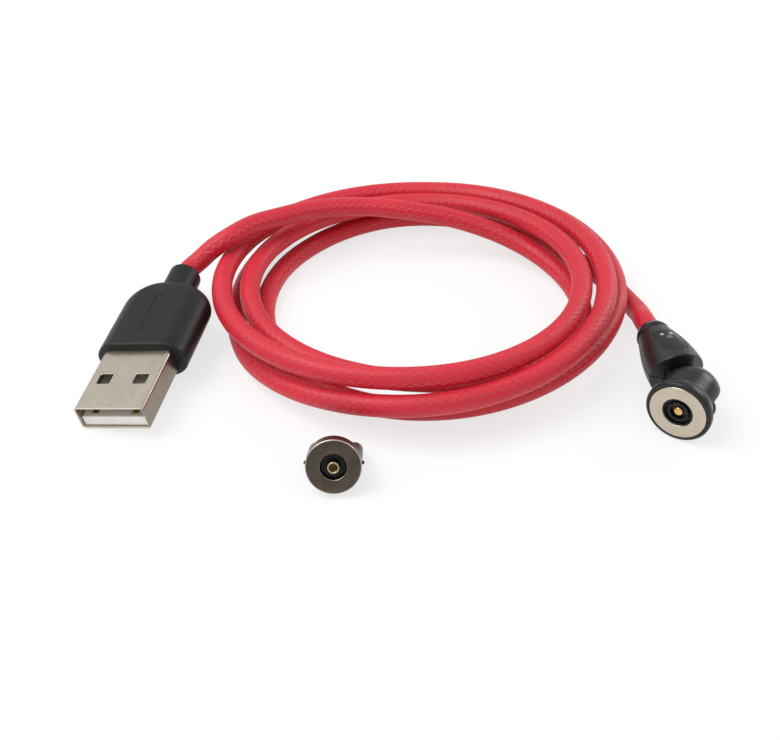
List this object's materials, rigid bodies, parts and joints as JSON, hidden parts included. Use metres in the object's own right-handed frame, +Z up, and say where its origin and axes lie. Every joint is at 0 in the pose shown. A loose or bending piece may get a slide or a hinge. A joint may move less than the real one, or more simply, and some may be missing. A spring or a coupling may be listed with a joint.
{
  "type": "charging cable",
  "caption": "Coiled charging cable with a USB-A plug, a magnetic head that swivels and bends, and a separate magnetic tip with a USB-C plug.",
  "frame": {"origin": "on the surface the cable lies on, under the middle of the box round the plug, the head and the tip", "axes": "+X from the USB plug towards the magnetic head, +Y from the tip towards the back of the coil, +Z up from the surface"},
  "size_m": [0.1013, 0.0866, 0.0135],
  "materials": {
    "plug_steel": "nickel-plated steel, satin",
    "contact_gold": "gold-plated, polished",
    "tongue_plastic": "moulded, satin white",
    "housing_plastic": "moulded, fine spark texture",
    "premould_plastic": "moulded, natural",
    "cord_jacket": "embossed with small scales, satin",
    "power_wire": "extruded insulation",
    "ground_wire": "extruded insulation",
    "solder": "flowed solder",
    "spindle_brass": "turned",
    "insulator_black": "moulded",
    "insulator_white": "moulded",
    "panel_plastic": "smooth",
    "light_pipe": "clear, polished",
    "lamp": "small lamps",
    "circuit_board": "solder mask",
    "ring_nickel": "nickel-plated, polished",
    "magnet_nickel": "nickel-plated",
    "spring_steel": "drawn wire",
    "pin_steel": "ground"
  },
  "bodies": {
    "cord_and_plug": {"usb_shell": "plug_steel", "usb_tongue": "tongue_plastic", "usb_power_contact": "contact_gold", "usb_ground_contact": "contact_gold", "plug_inner_mould": "premould_plastic", "plug_power_wire": "power_wire", "plug_ground_wire": "ground_wire", "plug_solder_joints": "solder", "plug_housing": "housing_plastic", "cord_plug_lead": "cord_jacket", "cord_coil": "cord_jacket", "cord_head_lead": "cord_jacket", "head_collar": "housing_plastic", "swivel_spindle": "spindle_brass", "spindle_insulator": "insulator_white", "spindle_centre_pin": "contact_gold"},
    "sleeve": {"sleeve_upper_shell": "housing_plastic", "sleeve_lower_shell": "housing_plastic", "indicator_panel": "panel_plastic", "indicator_lenses": "light_pipe", "indicator_leds": "lamp", "led_board": "circuit_board", "ground_brush": "spindle_brass", "power_brush": "spindle_brass", "hinge_tongue": "housing_plastic", "hinge_bushes": "spindle_brass", "sleeve_power_wire": "power_wire", "sleeve_ground_wire": "ground_wire"},
    "head": {"head_housing": "housing_plastic", "contact_ring": "ring_nickel", "ring_magnet": "magnet_nickel", "centre_insulator": "insulator_black", "pogo_barrel": "contact_gold", "pogo_spring": "spring_steel", "head_board": "circuit_board", "head_contact_leaves": "spindle_brass", "hinge_pins": "pin_steel"},
    "centre_pin": {"pogo_plunger": "contact_gold"},
    "tip": {"tip_face_ring": "ring_nickel", "tip_insulator": "insulator_black", "tip_centre_contact": "contact_gold", "tip_base": "housing_plastic", "tip_board": "circuit_board", "tip_plug_shell": "plug_steel", "tip_plug_insulator": "insulator_black", "tip_plug_contacts": "contact_gold"}
  },
  "joints": [
    {"name": "sleeve_swivel", "type": "hinge", "parent": "cord_and_plug", "child": "sleeve", "pos_m": [0.0458, -0.0073, 0.0053], "axis": [0.1736, -0.9848, 0], "continuous": true},
    {"name": "head_hinge", "type": "hinge", "parent": "sleeve", "child": "head", "pos_m": [0.0458, -0.0073, 0.0053], "axis": [0, 0, 1], "range_deg": [-46, 134]},
    {"name": "pin_travel", "type": "slide", "parent": "head", "child": "centre_pin", "axis": [0.5592, 0.829, 0], "range_m": [0, 0.00045], "stiffness_N_per_m": 600, "deforming": ["pogo_spring"]},
    {"name": "tip_lift", "type": "slide", "parent": "cord_and_plug", "child": "tip", "axis": [0, 0, 1], "range_m": [0, 0.02]}
  ]
}
